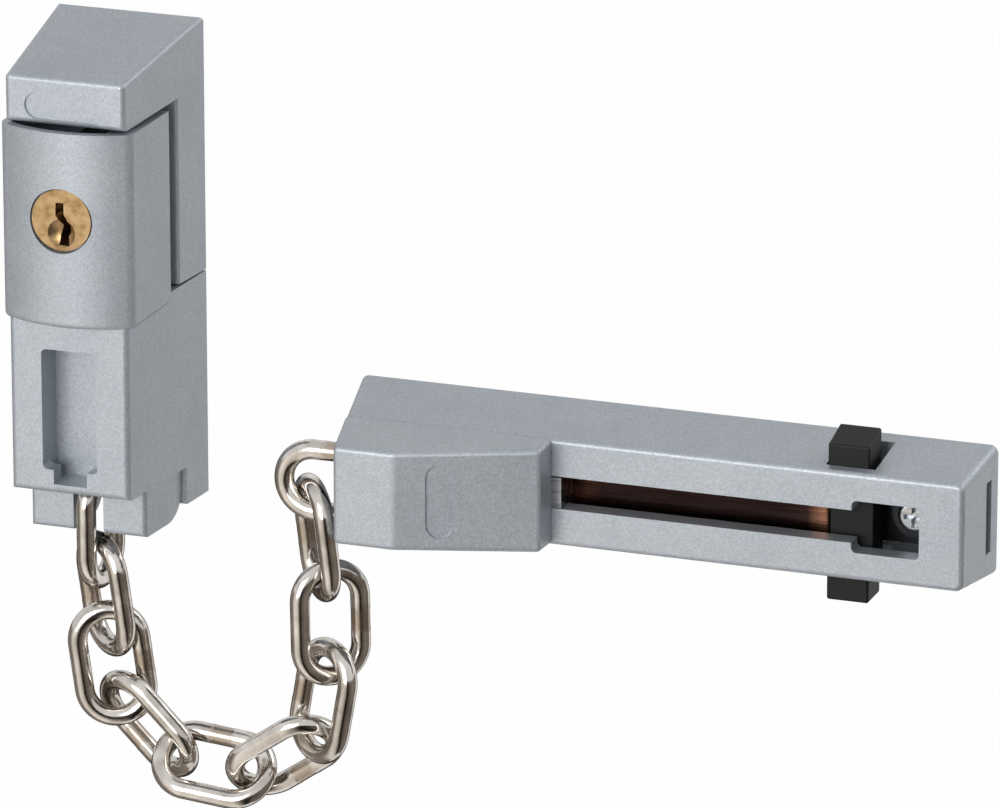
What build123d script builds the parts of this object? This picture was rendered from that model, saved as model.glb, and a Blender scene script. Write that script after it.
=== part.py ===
"""Door chain with a key lock: a lock unit on the frame, a slide rail on the door, a ten-link chain between.

Millimetres. X runs along the rail, Y points into the wall and Z is up. The wall plane is Y = 0. The origin
is the middle of the frame bracket's two screws on that plane, which is also the axis of the lock's plug.
"""
import math
import os

from build123d import *

# Running and seating clearances
RUN_FIT = 0.05
SLIDE_FIT = 0.2
SEAT_GAP = 0.3
SCREW_PLAY = 0.2

# Lock unit: outer form, all sides drafted from the wall to the front
UNIT_DEPTH = 33.1
UNIT_BACK_WIDTH = 29.9
UNIT_FRONT_WIDTH = 24.1
UNIT_TOP = 32.2
UNIT_BOTTOM = -63.1
EDGE_ROUND = 1.0
FINE_ROUND = 0.5

# Frame bracket: a back wall with a cap that reaches forward over the lock
CAP_TOP_DROP = 5.3
CAP_HEIGHT = 9.2
CAP_UNDER_RISE = 1.0
WALL_DEPTH = 11.3
SEAM = -18.1
BADGE_LENGTH = 16.3
BADGE_HEIGHT = 5.2
BADGE_DROP = 1.0
BADGE_DEPTH = 0.5
BRACKET_SCREW_SPACING = 27.0

# Lock body: a bowed housing round the plug and a box below it that reaches back to the wall
GROOVE = 3.5
HOUSING_FRONT_HALF = 13.4
HOUSING_TOP = 17.2
HOUSING_BOTTOM = -21.1
HOUSING_BULGE = 3.2
HOUSING_CORNER = 2.4
HOUSING_RIM = 1.8
BOX_BOTTOM = -55.3
BOX_BOTTOM_DROP = 0.3
REAR_WALL_DEPTH = 9.0

# Parking recess for the chain head's stud, with an undercut notch at its foot
RECESS_WIDTH = 11.2
RECESS_TOP = -26.6
RECESS_BOTTOM = -50.6
RECESS_DEPTH = 7.0
RECESS_ROUND = 1.0
NOTCH_WIDTH = 6.8
NOTCH_BOTTOM = -53.5
NOTCH_LIP = 3.6

# Lock cylinder
PLUG_FACE_R = 6.0
PLUG_R = 5.6
PLUG_FACE_THICK = 1.2
PLUG_SUNK = 0.9
PLUG_RING_GAP = 0.35
TAIL_R = 3.4
TAIL_SQUARE = 4.4
CLIP_THICK = 0.9
CLIP_R = 7.2
CAM_WIDTH = 5.6
CAM_LENGTH = 16.8
CAM_THICK = 2.4
CAM_LIP = 2.5
CAM_SCREW_R = 1.2
CAM_SCREW_HEAD_R = 2.9
CAM_SCREW_HEAD_HEIGHT = 1.4
CAM_SCREW_LENGTH = 4.0
KEYWAY_LEFT = [(-1.1, 3.4), (-1.2, 0.9), (0.2, -1.1), (-0.5, -3.0), (-0.6, -5.0)]
KEYWAY_RIGHT = [(1.6, -5.0), (1.2, -3.2), (1.8, -2.2), (1.7, -0.9), (0.5, 1.2), (0.5, 3.4)]
KEYWAY_PAST = 0.9
SCOOP_R = 4.4
SCOOP_Z = -2.6
SCOOP_SET = 3.4
PIN_PITCH = 3.1
PIN_FIRST = 4.0
PIN_LAST = 3.05
PIN_R = 1.25
PIN_HOLE_FOOT = 0.3
KEY_PIN_LENGTH = 4.4
DRIVER_LENGTH = 3.2
PIN_SPRING_LENGTH = 3.0
PIN_SPRING_WIRE = 0.35
PIN_SPRING_TURNS = 3
PIN_COVER_THICK = 1.0

# Chain foot: a block with a slot for the first link, under the box
FOOT_INSET = 1.0
FOOT_FRONT = 24.5
FOOT_TOP = -55.9
FOOT_BOTTOM = -65.4
FOOT_CORNER = 6.0
FOOT_TONGUE_WIDTH = 14.0
FOOT_TONGUE_DEPTH = 6.0
FOOT_SLOT = 6.2
FOOT_SLOT_BACK = 9.8
FOOT_PIN_R = 1.5
FOOT_PIN_LENGTH = 20.0
FOOT_PIN_Y = -18.5
FOOT_PIN_Z = -58.6
FOOT_SCREW_X = 9.0
FOOT_SCREW_Z = -61.6
FOOT_SCREW_R = 1.5
FOOT_SCREW_LENGTH = 16.4

# Rail: a drafted hood with a long slot and a wide entry, on a steel base
RAIL_Z = -48.7
RAIL_CORNER = 1.6
RAIL_LEFT = 50.5
RAIL_LENGTH = 122.4
RAIL_DEPTH = 18.4
RAIL_HEIGHT = 20.9
RAIL_BACK_HEIGHT = 25.5
RAIL_LEFT_DRAFT = 3.6
RAIL_RIGHT_DRAFT = 1.1
RAIL_PLATE = 4.0
RAIL_WALL = 2.6
CAVITY_HALF = 8.0
SLOT_HEIGHT = 6.4
ENTRY_LEFT = 151.2
ENTRY_LENGTH = 13.2
ENTRY_HEIGHT = 10.2
ENTRY_ROUND = 1.0
SLIT_HEIGHT = 14.2
SLIT_DEPTH = 2.7
SLIT_Y = -4.7
BASE_THICK = 2.2
BASE_LEFT = 72.0
BASE_BOSS_R = 5.0
BASE_BOSS_HEIGHT = 7.0
RAIL_SCREW_X = 104.0
RAIL_SCREW_SPACING = 56.6
END_SCREW_X = 61.0

# Wood screws into frame and door
SCREW_R = 2.1
THREAD_R = 1.9
SCREW_REACH = 24.0
SCREW_HEAD_R = 3.4
SCREW_HEAD_HEIGHT = 2.5
SUNK_HEAD_R = 4.0
CROSS_LENGTH = 4.0
CROSS_WIDTH = 0.9
CROSS_DEPTH = 1.3

# Catch: a block behind the slot with a press tab above and below the rail
CATCH_LEFT = 145.6
CATCH_WIDTH = 8.2
CATCH_FRONT = -13.4
CATCH_BACK = -6.9
CATCH_TRAVEL = 3.0
TAB_FRONT = -15.6
TAB_BACK = -8.2
TAB_ROOT = 6.9
TAB_TOP = 14.8
TAB_BOTTOM = -15.9
TAB_TOP_RISE = 1.9
TAB_SLOT_PLAY = 1.2
SPRING_THICK = 0.4
SPRING_HEIGHT = 12.0
SPRING_FOOT = 8.0
SPRING_BEND = 0.9
SPRING_STEP = 3.0
SPRING_SLOPE_FROM = 4.6
SPRING_SLOPE_TO = 1.2
SPRING_SHORT = 1.0
RIVET_R = 1.4

# Chain head: a wedge block on the rail's face with a T stud in the slot
HEAD_BEVEL_X = 65.9
HEAD_RIGHT = 92.0
HEAD_LEFT_THICK = 15.7
HEAD_RIGHT_THICK = 6.1
HEAD_LEFT_DRAFT = 3.6
HEAD_BEVEL_ROUND = 4.0
HEAD_FACE_DROP = 0.75
STUD_RIGHT = 94.0
STUD_LENGTH = 12.4
STUD_HEAD_HEIGHT = 9.6
STUD_HEAD_THICK = 2.5
STUD_TAIL_R = 2.2
STUD_TAIL_LENGTH = 5.0
HEAD_BADGE_X = 74.2
HEAD_BADGE_LENGTH = 14.6
HEAD_BADGE_WIDTH = 5.2
HEAD_SLOT = 4.9
HEAD_PIN_R = 1.5
HEAD_PIN_SINK = 2.6

# Chain: bent wire links
WIRE = 3.8
LINK_INNER_LENGTH = 17.7
LINK_INNER_WIDTH = 8.4
FIRST_LINK_TURN = 94
LAST_LINK_LEFT = 39.3
LAST_LINK_Y = -26.5
LAST_LINK_Z = -48.9

# How links 2 to 9 hang: middle x, y and z, swing from straight down, turn about the link's length
HANGING_LINKS = [
    (1.4, -19.8, -79.3, 8, 37),
    (3.1, -21.0, -92.9, 8, -21),
    (10.3, -20.4, -104.7, 45, 30),
    (24.7, -22.8, -110.5, 85, -41),
    (39.4, -22.8, -106.6, 125, 39),
    (48.2, -24.9, -93.7, 170, -30),
    (49.9, -25.3, -77.5, 181, 41),
    (47.5, -25.8, -60.6, 187, -50),
]

# Worked-out places shared by several pieces
HOUSING_BACK = -(WALL_DEPTH + GROOVE)
HOUSING_FRONT = -(UNIT_DEPTH + HOUSING_BULGE)
PLUG_FRONT = HOUSING_FRONT + PLUG_SUNK
CLIP_FRONT = HOUSING_BACK + RUN_FIT
CAM_BACK = -WALL_DEPTH + CAM_LIP + SEAT_GAP + CAM_THICK
RAIL_FRONT = -RAIL_DEPTH
PLATE_BACK = RAIL_FRONT + RAIL_PLATE
STUD_LEFT = STUD_RIGHT - STUD_LENGTH
STUD_HEAD_FRONT = PLATE_BACK + SEAT_GAP
STUD_HEAD_BACK = STUD_HEAD_FRONT + STUD_HEAD_THICK
HEAD_BACK = RAIL_FRONT - SLIDE_FIT
SPRING_FRONT = STUD_HEAD_BACK + SLIDE_FIT
RAIL_RIGHT = RAIL_LEFT + RAIL_LENGTH
ENTRY_SCREW_X = RAIL_SCREW_X + RAIL_SCREW_SPACING
FAR = 100.0


def along_x(points, left, right):
    """A prism along X from an outline given as (y, z) points."""
    return Pos(left, 0, 0) * extrude(Plane.YZ * Polygon(*points, align=None), right - left, dir=(1, 0, 0))


def plan_prism(points, bottom, top):
    """A prism along Z from an outline given as (x, y) points."""
    return Pos(0, 0, bottom) * extrude(Polygon(*points, align=None), top - bottom, dir=(0, 0, 1))


def block(x0, x1, y0, y1, z0, z1):
    """A box between two corners."""
    return Pos((x0 + x1) / 2, (y0 + y1) / 2, (z0 + z1) / 2) * Box(abs(x1 - x0), abs(y1 - y0), abs(z1 - z0))


def rod(x, z, radius, y0, y1):
    """A round bar along Y."""
    return Pos(x, (y0 + y1) / 2, z) * Rot(90, 0, 0) * Cylinder(radius, abs(y1 - y0))


def cone_along_y(x, z, front_r, back_r, y_front, y_back):
    """A cone along Y, with its front radius at y_front."""
    middle = Pos(x, (y_front + y_back) / 2, z)
    return middle * Rot(90, 0, 0) * Cone(back_r, front_r, y_back - y_front)


def facing(x, y, z):
    """A plane at a point, looking out of the front, with X to the right and Z up."""
    return Plane(origin=(x, y, z), x_dir=(1, 0, 0), z_dir=(0, -1, 0))


def rounded_window(x0, x1, z0, z1, radius, y0, y1):
    """A block through a wall whose four corners along Y are rounded."""
    middle = facing((x0 + x1) / 2, y1, (z0 + z1) / 2)
    return extrude(middle * RectangleRounded(x1 - x0, z1 - z0, radius), y1 - y0)


def unit_half_width(y):
    """Half the width of the drafted lock unit at a depth."""
    slope = (UNIT_BACK_WIDTH - UNIT_FRONT_WIDTH) / 2 / UNIT_DEPTH
    return UNIT_BACK_WIDTH / 2 + slope * y


def unit_envelope():
    """The drafted plan of the lock unit, as tall as needed."""
    deep = HOUSING_FRONT
    plan = [
        (-unit_half_width(0), 0),
        (unit_half_width(0), 0),
        (unit_half_width(deep), deep),
        (-unit_half_width(deep), deep),
    ]
    return plan_prism(plan, -FAR, FAR)


def cross_recess(x, z, y_front):
    """The cross cut in a screw's head."""
    arm = block(x - CROSS_LENGTH / 2, x + CROSS_LENGTH / 2, y_front, y_front + CROSS_DEPTH,
                z - CROSS_WIDTH / 2, z + CROSS_WIDTH / 2)
    return arm + Pos(x, 0, z) * Rot(0, 90, 0) * Pos(-x, 0, -z) * arm


def screw_in_wall(x, z):
    """The threaded end of a wood screw that stands in the wall, with its point."""
    end = SCREW_REACH - THREAD_R
    return rod(x, z, THREAD_R, 0, end) + cone_along_y(x, z, THREAD_R, THREAD_R / 4, end, SCREW_REACH)


def sunk_screw(x, z, y_face):
    """A countersunk wood screw whose head lies flush in a face that looks to the front."""
    head_end = y_face + SUNK_HEAD_R - SCREW_R
    head = cone_along_y(x, z, SUNK_HEAD_R, SCREW_R, y_face, head_end)
    shank = rod(x, z, SCREW_R, head_end, 0)
    return head + shank + screw_in_wall(x, z) - cross_recess(x, z, y_face)


def sunk_hole(x, z, y_face):
    """The countersunk hole for such a screw, down to the wall."""
    wide = SUNK_HEAD_R + SCREW_PLAY
    neck = SCREW_R + SCREW_PLAY
    return cone_along_y(x, z, wide, neck, y_face, y_face + wide - neck) + rod(x, z, neck, y_face, 0)


def pan_screw(x, z, y_seat):
    """A pan head wood screw seated on a boss."""
    head_front = y_seat - SCREW_HEAD_HEIGHT
    head = rod(x, z, SCREW_HEAD_R, head_front, y_seat)
    head = fillet(head.edges().group_by(Axis.Y)[0], SCREW_HEAD_HEIGHT * 0.45)
    shank = rod(x, z, SCREW_R, y_seat, 0)
    return head + shank + screw_in_wall(x, z) - cross_recess(x, z, head_front)


def make_frame_bracket():
    """Back wall and cap, with a rear chamber for the cam behind a lip that the cam turns under."""
    cap_front_top = UNIT_TOP - CAP_TOP_DROP
    cap_front_bottom = cap_front_top - CAP_HEIGHT
    profile = [
        (0, SEAM),
        (0, UNIT_TOP),
        (-UNIT_DEPTH, cap_front_top),
        (-UNIT_DEPTH, cap_front_bottom),
        (-WALL_DEPTH, cap_front_bottom + CAP_UNDER_RISE),
        (-WALL_DEPTH, SEAM),
    ]
    body = along_x(profile, -FAR, FAR) & unit_envelope()
    outer = body.faces().sort_by(Axis.Y)[0].edges() + body.faces().sort_by(Axis.Z)[-1].edges()
    body = fillet(list(set(outer)), EDGE_ROUND)
    wall_corners = body.edges().filter_by(Axis.Z).filter_by(lambda e: abs(e.center().Y + WALL_DEPTH) < 0.1)
    body = fillet(wall_corners, FINE_ROUND)
    badge_middle = facing(0, -UNIT_DEPTH + BADGE_DEPTH, cap_front_bottom + CAP_HEIGHT / 2 - BADGE_DROP)
    body -= extrude(badge_middle * SlotOverall(BADGE_LENGTH, BADGE_HEIGHT), BADGE_DEPTH * 2)
    lip_back = -WALL_DEPTH + CAM_LIP
    body -= rod(0, 0, CAM_LENGTH / 2 + 2 * SEAT_GAP, lip_back, 0)
    keyhole = rod(0, 0, TAIL_R + 2 * SEAT_GAP, -WALL_DEPTH, lip_back)
    half = CAM_WIDTH / 2 + SEAT_GAP
    reach = CAM_LENGTH / 2 + SEAT_GAP
    keyhole += block(-half, half, -WALL_DEPTH, lip_back, -reach, reach)
    body -= keyhole
    for z in bracket_screw_heights():
        body -= sunk_hole(0, z, -WALL_DEPTH)
    return body


def bracket_screw_heights():
    """The two screws of the bracket, above and below the origin."""
    return [-BRACKET_SCREW_SPACING / 2, BRACKET_SCREW_SPACING / 2]


def make_bracket_screws():
    """Two countersunk wood screws through the bracket's wall."""
    return [sunk_screw(0, z, -WALL_DEPTH) for z in bracket_screw_heights()]


def box_bottom_at(y):
    """The box's underside falls a little from the front to its rear wall."""
    share = (UNIT_DEPTH + y) / (UNIT_DEPTH - REAR_WALL_DEPTH)
    return BOX_BOTTOM - BOX_BOTTOM_DROP * share


def pin_places():
    """The depths of the lock's pins, from the front, as many as have room before the clip."""
    first = PLUG_FRONT + PLUG_FACE_THICK + PIN_FIRST
    count = int((CLIP_FRONT - PIN_LAST - first) / PIN_PITCH + RUN_FIT) + 1
    return [first + PIN_PITCH * i for i in range(count)]


def pin_stack():
    """Heights of the shear line, the top of the drivers and the top of the springs."""
    shear = PLUG_R + 2 * RUN_FIT
    driver_top = shear + DRIVER_LENGTH
    return shear, driver_top, driver_top + PIN_SPRING_LENGTH


def make_lock_body():
    """The casting: bowed housing, box, plug bore, pin chambers, parking recess and room for the foot."""
    corner_y = -UNIT_DEPTH + HOUSING_CORNER / 4
    rear_half = unit_half_width(HOUSING_BACK)
    front_half = HOUSING_FRONT_HALF
    left = [(-front_half, corner_y), (-rear_half, HOUSING_BACK)]
    right = [(rear_half, HOUSING_BACK), (front_half, corner_y)]
    plan = Polyline(*left, *right)
    bow = ThreePointArc((front_half, corner_y), (0, HOUSING_FRONT), (-front_half, corner_y))
    outline = make_face(plan + bow)
    housing = Pos(0, 0, HOUSING_BOTTOM) * extrude(outline, HOUSING_TOP - HOUSING_BOTTOM, dir=(0, 0, 1))
    upright = housing.edges().filter_by(Axis.Z).group_by(Axis.Y)[0]
    housing = fillet(upright, HOUSING_CORNER)
    under = housing.edges().group_by(Axis.Z)[0].filter_by(lambda e: e.center().Y < HOUSING_BACK - 0.1)
    housing = fillet(under, EDGE_ROUND)

    ledge = SEAM - SEAT_GAP
    profile = [
        (0, ledge),
        (0, UNIT_BOTTOM),
        (-REAR_WALL_DEPTH, UNIT_BOTTOM),
        (-REAR_WALL_DEPTH, box_bottom_at(-REAR_WALL_DEPTH)),
        (-UNIT_DEPTH, BOX_BOTTOM),
        (-UNIT_DEPTH, HOUSING_BOTTOM + EDGE_ROUND * 2),
        (HOUSING_BACK, HOUSING_BOTTOM + EDGE_ROUND * 2),
        (HOUSING_BACK, ledge - SEAT_GAP),
    ]
    box = along_x(profile, -FAR, FAR) & unit_envelope()
    front = box.edges().filter_by(lambda e: e.center().Y < -UNIT_DEPTH + 0.1)
    box = fillet(front.filter_by(lambda e: e.center().Z < HOUSING_BOTTOM), EDGE_ROUND * 1.2)
    body = housing + box

    body -= rod(0, 0, PLUG_R + RUN_FIT, HOUSING_FRONT - 1, HOUSING_BACK)
    face_back = PLUG_FRONT + PLUG_FACE_THICK + RUN_FIT
    body -= rod(0, 0, PLUG_FACE_R + PLUG_RING_GAP, HOUSING_FRONT - 1, face_back)
    shear, driver_top, spring_top = pin_stack()
    chamber_foot = PLUG_R / 2
    for y in pin_places():
        middle = Pos(0, y, (spring_top + chamber_foot) / 2)
        body -= middle * Cylinder(PIN_R + RUN_FIT, spring_top - chamber_foot)
    well_bottom = spring_top + PIN_COVER_THICK
    well = offset(outline, -HOUSING_RIM)
    body -= Pos(0, 0, well_bottom) * extrude(well, HOUSING_TOP - well_bottom + 1, dir=(0, 0, 1))
    body -= pin_cover_block(SEAT_GAP / 3, well_bottom)

    half = RECESS_WIDTH / 2
    open_front = -UNIT_DEPTH - 1
    recess_back = -UNIT_DEPTH + RECESS_DEPTH
    body -= rounded_window(-half, half, RECESS_BOTTOM, RECESS_TOP, RECESS_ROUND, open_front, recess_back)
    notch_half = NOTCH_WIDTH / 2
    notch_top = RECESS_BOTTOM + 1
    body -= block(-notch_half, notch_half, open_front, recess_back, NOTCH_BOTTOM, notch_top)
    body -= block(-half, half, -UNIT_DEPTH + NOTCH_LIP, recess_back, NOTCH_BOTTOM, notch_top)

    link_top = FOOT_PIN_Z + FOOT_PIN_R + WIRE + SEAT_GAP
    link_half = LINK_INNER_WIDTH / 2 + WIRE / 2
    link_front, link_back = FOOT_PIN_Y - link_half, FOOT_PIN_Y + link_half
    body -= block(-FOOT_SLOT / 2, FOOT_SLOT / 2, link_front, link_back, UNIT_BOTTOM, link_top)
    tongue = FOOT_TONGUE_WIDTH / 2 + SLIDE_FIT
    tongue_back = -FOOT_TONGUE_DEPTH + SLIDE_FIT
    body -= block(-tongue, tongue, -REAR_WALL_DEPTH, tongue_back, UNIT_BOTTOM - 1, FOOT_TOP + SLIDE_FIT)
    for x in foot_screw_places():
        body -= foot_screw_hole(x)
    return body


def pin_cover_block(grow, top):
    """The strip that closes the pin chambers, or the bed it lies in when grown by a clearance."""
    places = pin_places()
    side = PIN_R + 1.2 + grow
    return block(-side, side, places[0] - side, places[-1] + side, top - PIN_COVER_THICK, top)


def make_pin_cover():
    """The strip pressed over the springs in the well of the housing."""
    return pin_cover_block(0, pin_stack()[2] + PIN_COVER_THICK)


def make_plug():
    """The turned brass plug: face, barrel, clip groove, tail and square, with its keyway and pin holes."""
    face_back = PLUG_FRONT + PLUG_FACE_THICK
    clip_back = CLIP_FRONT + CLIP_THICK + RUN_FIT
    barrel_end = clip_back + 1.0
    plug = rod(0, 0, PLUG_FACE_R, PLUG_FRONT, face_back) + rod(0, 0, PLUG_R, face_back, barrel_end)
    groove_front = CLIP_FRONT - RUN_FIT
    groove = rod(0, 0, PLUG_R + 1, groove_front, clip_back)
    plug -= groove - rod(0, 0, PLUG_R - 1, groove_front, clip_back)
    square_front = CAM_BACK - CAM_THICK
    plug += rod(0, 0, TAIL_R, barrel_end, square_front)
    half = TAIL_SQUARE / 2
    plug += block(-half, half, square_front, CAM_BACK, -half, half)
    plug -= rod(0, 0, CAM_SCREW_R + 2 * RUN_FIT, CAM_BACK - CAM_SCREW_LENGTH - SEAT_GAP, CAM_BACK)
    plug -= keyway()
    for y in pin_places():
        plug -= Pos(0, y, PLUG_R / 2 + PIN_HOLE_FOOT) * Cylinder(PIN_R + RUN_FIT, PLUG_R)
    return plug - Pos(0, PLUG_FRONT - SCOOP_SET, SCOOP_Z) * Sphere(SCOOP_R)


def keyway():
    """The stepped key slot, a zigzag in its height, from the face to behind the last pin."""
    end = pin_places()[-1] + KEYWAY_PAST
    zigzag = facing(0, end, 0) * Polygon(*KEYWAY_LEFT, *KEYWAY_RIGHT, align=None)
    return extrude(zigzag, end - PLUG_FRONT + 1, dir=(0, -1, 0))


def make_plug_clip():
    """The open spring ring behind the housing that keeps the plug in."""
    ring = rod(0, 0, CLIP_R, CLIP_FRONT, CLIP_FRONT + CLIP_THICK)
    ring -= rod(0, 0, PLUG_R - 1 + RUN_FIT, CLIP_FRONT, CLIP_FRONT + CLIP_THICK)
    return ring - block(-2, 2, CLIP_FRONT, CLIP_FRONT + CLIP_THICK, -CLIP_R, 0)


def make_cam():
    """The locking bar on the plug's square, level when locked."""
    front = CAM_BACK - CAM_THICK
    middle = facing(0, CAM_BACK, 0)
    bar = extrude(middle * SlotOverall(CAM_LENGTH, CAM_WIDTH), CAM_THICK)
    half = TAIL_SQUARE / 2 + RUN_FIT
    return bar - block(-half, half, front, CAM_BACK, -half, half)


def make_cam_screw():
    """The small screw that holds the cam on the square."""
    head = rod(0, 0, CAM_SCREW_HEAD_R, CAM_BACK, CAM_BACK + CAM_SCREW_HEAD_HEIGHT)
    return head + rod(0, 0, CAM_SCREW_R, CAM_BACK - CAM_SCREW_LENGTH, CAM_BACK)


def make_key_pins():
    """Pointed pins in the plug, lifted to the shear line as the right key lifts them."""
    top = PLUG_R - 4 * RUN_FIT
    pins = []
    for y in pin_places():
        shaft = Pos(0, y, top - KEY_PIN_LENGTH / 2) * Cylinder(PIN_R, KEY_PIN_LENGTH)
        tip = Pos(0, y, top - KEY_PIN_LENGTH - 0.5) * Cone(0.4, PIN_R, 1.0)
        pins.append(shaft + tip)
    return pins


def make_driver_pins():
    """Flat pins above the shear line."""
    shear = pin_stack()[0]
    return [Pos(0, y, shear + DRIVER_LENGTH / 2) * Cylinder(PIN_R, DRIVER_LENGTH) for y in pin_places()]


def make_pin_springs():
    """Short coil springs that push the drivers down."""
    driver_top = pin_stack()[1]
    wire = PIN_SPRING_WIRE / 2
    height = PIN_SPRING_LENGTH - PIN_SPRING_WIRE - 2 * RUN_FIT
    coil = Helix(pitch=height / PIN_SPRING_TURNS, height=height, radius=PIN_R - 2 * wire)
    section = Plane(origin=coil @ 0, z_dir=coil % 0) * RegularPolygon(wire, 6)
    spring = sweep(section, path=coil, is_frenet=True)
    return [Pos(0, y, driver_top + wire + RUN_FIT) * spring for y in pin_places()]


def foot_screw_places():
    """The two screws that hold the foot, from behind."""
    return [-FOOT_SCREW_X, FOOT_SCREW_X]


def foot_screw(x, radius, head_r, length):
    """A countersunk screw from the wall side towards the front."""
    depth = head_r - radius
    head = cone_along_y(x, FOOT_SCREW_Z, radius, head_r, -depth - SLIDE_FIT, -SLIDE_FIT)
    return head + rod(x, FOOT_SCREW_Z, radius, -length, -depth - SLIDE_FIT)


def foot_screw_hole(x):
    """The room for such a screw, open to the wall side."""
    head_r = 2 * FOOT_SCREW_R + SCREW_PLAY
    hole = foot_screw(x, FOOT_SCREW_R + SCREW_PLAY, head_r, FOOT_SCREW_LENGTH + SCREW_PLAY)
    return hole + rod(x, FOOT_SCREW_Z, head_r, -SLIDE_FIT, 0)


def make_foot_screws():
    """Two screws through the box's rear wall into the foot."""
    return [foot_screw(x, FOOT_SCREW_R, 2 * FOOT_SCREW_R, FOOT_SCREW_LENGTH) for x in foot_screw_places()]


def make_chain_foot():
    """A block with two cheeks, joined behind by a tongue that sits in the box's rear wall."""
    back = -REAR_WALL_DEPTH - SLIDE_FIT
    front_half = unit_half_width(-FOOT_FRONT) - FOOT_INSET
    back_half = unit_half_width(back) - FOOT_INSET
    plan = [(-front_half, -FOOT_FRONT), (front_half, -FOOT_FRONT), (back_half, back), (-back_half, back)]
    body = plan_prism(plan, FOOT_BOTTOM, FOOT_TOP)
    low_back = body.edges().filter_by(Axis.X).group_by(Axis.Z)[0].sort_by(Axis.Y)[-1]
    body = fillet(low_back, FOOT_CORNER)
    front = body.edges().group_by(Axis.Y)[0].filter_by(lambda e: e.center().Z < FOOT_TOP - 0.1)
    body = fillet(front, EDGE_ROUND)
    tongue = FOOT_TONGUE_WIDTH / 2
    body += block(-tongue, tongue, back - 1, -FOOT_TONGUE_DEPTH, UNIT_BOTTOM, FOOT_TOP)
    body -= block(-FOOT_SLOT / 2, FOOT_SLOT / 2, -FAR, -FOOT_SLOT_BACK, -FAR, 0)
    body -= Pos(0, FOOT_PIN_Y, FOOT_PIN_Z) * Rot(0, 90, 0) * Cylinder(FOOT_PIN_R, FOOT_PIN_LENGTH)
    for x in foot_screw_places():
        body -= foot_screw_hole(x)
    return body


def make_foot_pin():
    """The pin that the first link hangs on, pressed into both cheeks."""
    return Pos(0, FOOT_PIN_Y, FOOT_PIN_Z) * Rot(0, 90, 0) * Cylinder(FOOT_PIN_R, FOOT_PIN_LENGTH)


def rail_half_height(y):
    """Half the rail's height at a depth."""
    return RAIL_BACK_HEIGHT / 2 + (RAIL_BACK_HEIGHT - RAIL_HEIGHT) / 2 / RAIL_DEPTH * y


def make_rail_housing():
    """The drafted hood with its slot, entry, tab slots and end slit, hollow from behind."""
    plan = [
        (RAIL_LEFT - RAIL_LEFT_DRAFT, 0),
        (RAIL_LEFT, RAIL_FRONT),
        (RAIL_RIGHT, RAIL_FRONT),
        (RAIL_RIGHT + RAIL_RIGHT_DRAFT, 0),
    ]
    section = [
        (0, RAIL_Z - RAIL_BACK_HEIGHT / 2),
        (0, RAIL_Z + RAIL_BACK_HEIGHT / 2),
        (RAIL_FRONT, RAIL_Z + RAIL_HEIGHT / 2),
        (RAIL_FRONT, RAIL_Z - RAIL_HEIGHT / 2),
    ]
    hood = plan_prism(plan, -FAR, FAR) & along_x(section, 0, RAIL_RIGHT + FAR)
    corners = hood.edges().filter_by(lambda e: abs(e.center().Y - RAIL_FRONT / 2) < 0.5)
    hood = fillet(corners, RAIL_CORNER)
    hood = fillet(hood.edges().group_by(Axis.Y)[0], EDGE_ROUND)

    low, high = RAIL_Z - CAVITY_HALF, RAIL_Z + CAVITY_HALF
    hood -= block(RAIL_LEFT + RAIL_WALL, RAIL_RIGHT - RAIL_WALL, PLATE_BACK, 0, low, high)
    hood += rod(END_SCREW_X, RAIL_Z, BASE_BOSS_R, PLATE_BACK, 0)
    hood -= sunk_hole(END_SCREW_X, RAIL_Z, RAIL_FRONT)
    open_front = RAIL_FRONT - 1
    low, high = RAIL_Z - SLOT_HEIGHT / 2, RAIL_Z + SLOT_HEIGHT / 2
    hood -= block(STUD_LEFT - SEAT_GAP, ENTRY_LEFT + 1, open_front, PLATE_BACK, low, high)
    low, high = RAIL_Z - ENTRY_HEIGHT / 2, RAIL_Z + ENTRY_HEIGHT / 2
    entry_right = ENTRY_LEFT + ENTRY_LENGTH
    hood -= rounded_window(ENTRY_LEFT, entry_right, low, high, ENTRY_ROUND, open_front, PLATE_BACK)
    slot_left, slot_front = CATCH_LEFT - SEAT_GAP, TAB_FRONT - SEAT_GAP
    slot_back = CATCH_BACK + CATCH_TRAVEL + SEAT_GAP
    slot_root = TAB_ROOT - SEAT_GAP
    slot_right = CATCH_LEFT + CATCH_WIDTH + TAB_SLOT_PLAY
    hood -= block(slot_left, slot_right, slot_front, slot_back, RAIL_Z + slot_root, RAIL_Z + FAR)
    hood -= block(slot_left, slot_right, slot_front, slot_back, RAIL_Z - FAR, RAIL_Z - slot_root)
    low, high = RAIL_Z - SLIT_HEIGHT / 2, RAIL_Z + SLIT_HEIGHT / 2
    slit_front, slit_back = SLIT_Y - SLIT_DEPTH / 2, SLIT_Y + SLIT_DEPTH / 2
    return hood - block(RAIL_RIGHT - RAIL_WALL - 1, RAIL_RIGHT + FAR, slit_front, slit_back, low, high)


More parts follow.
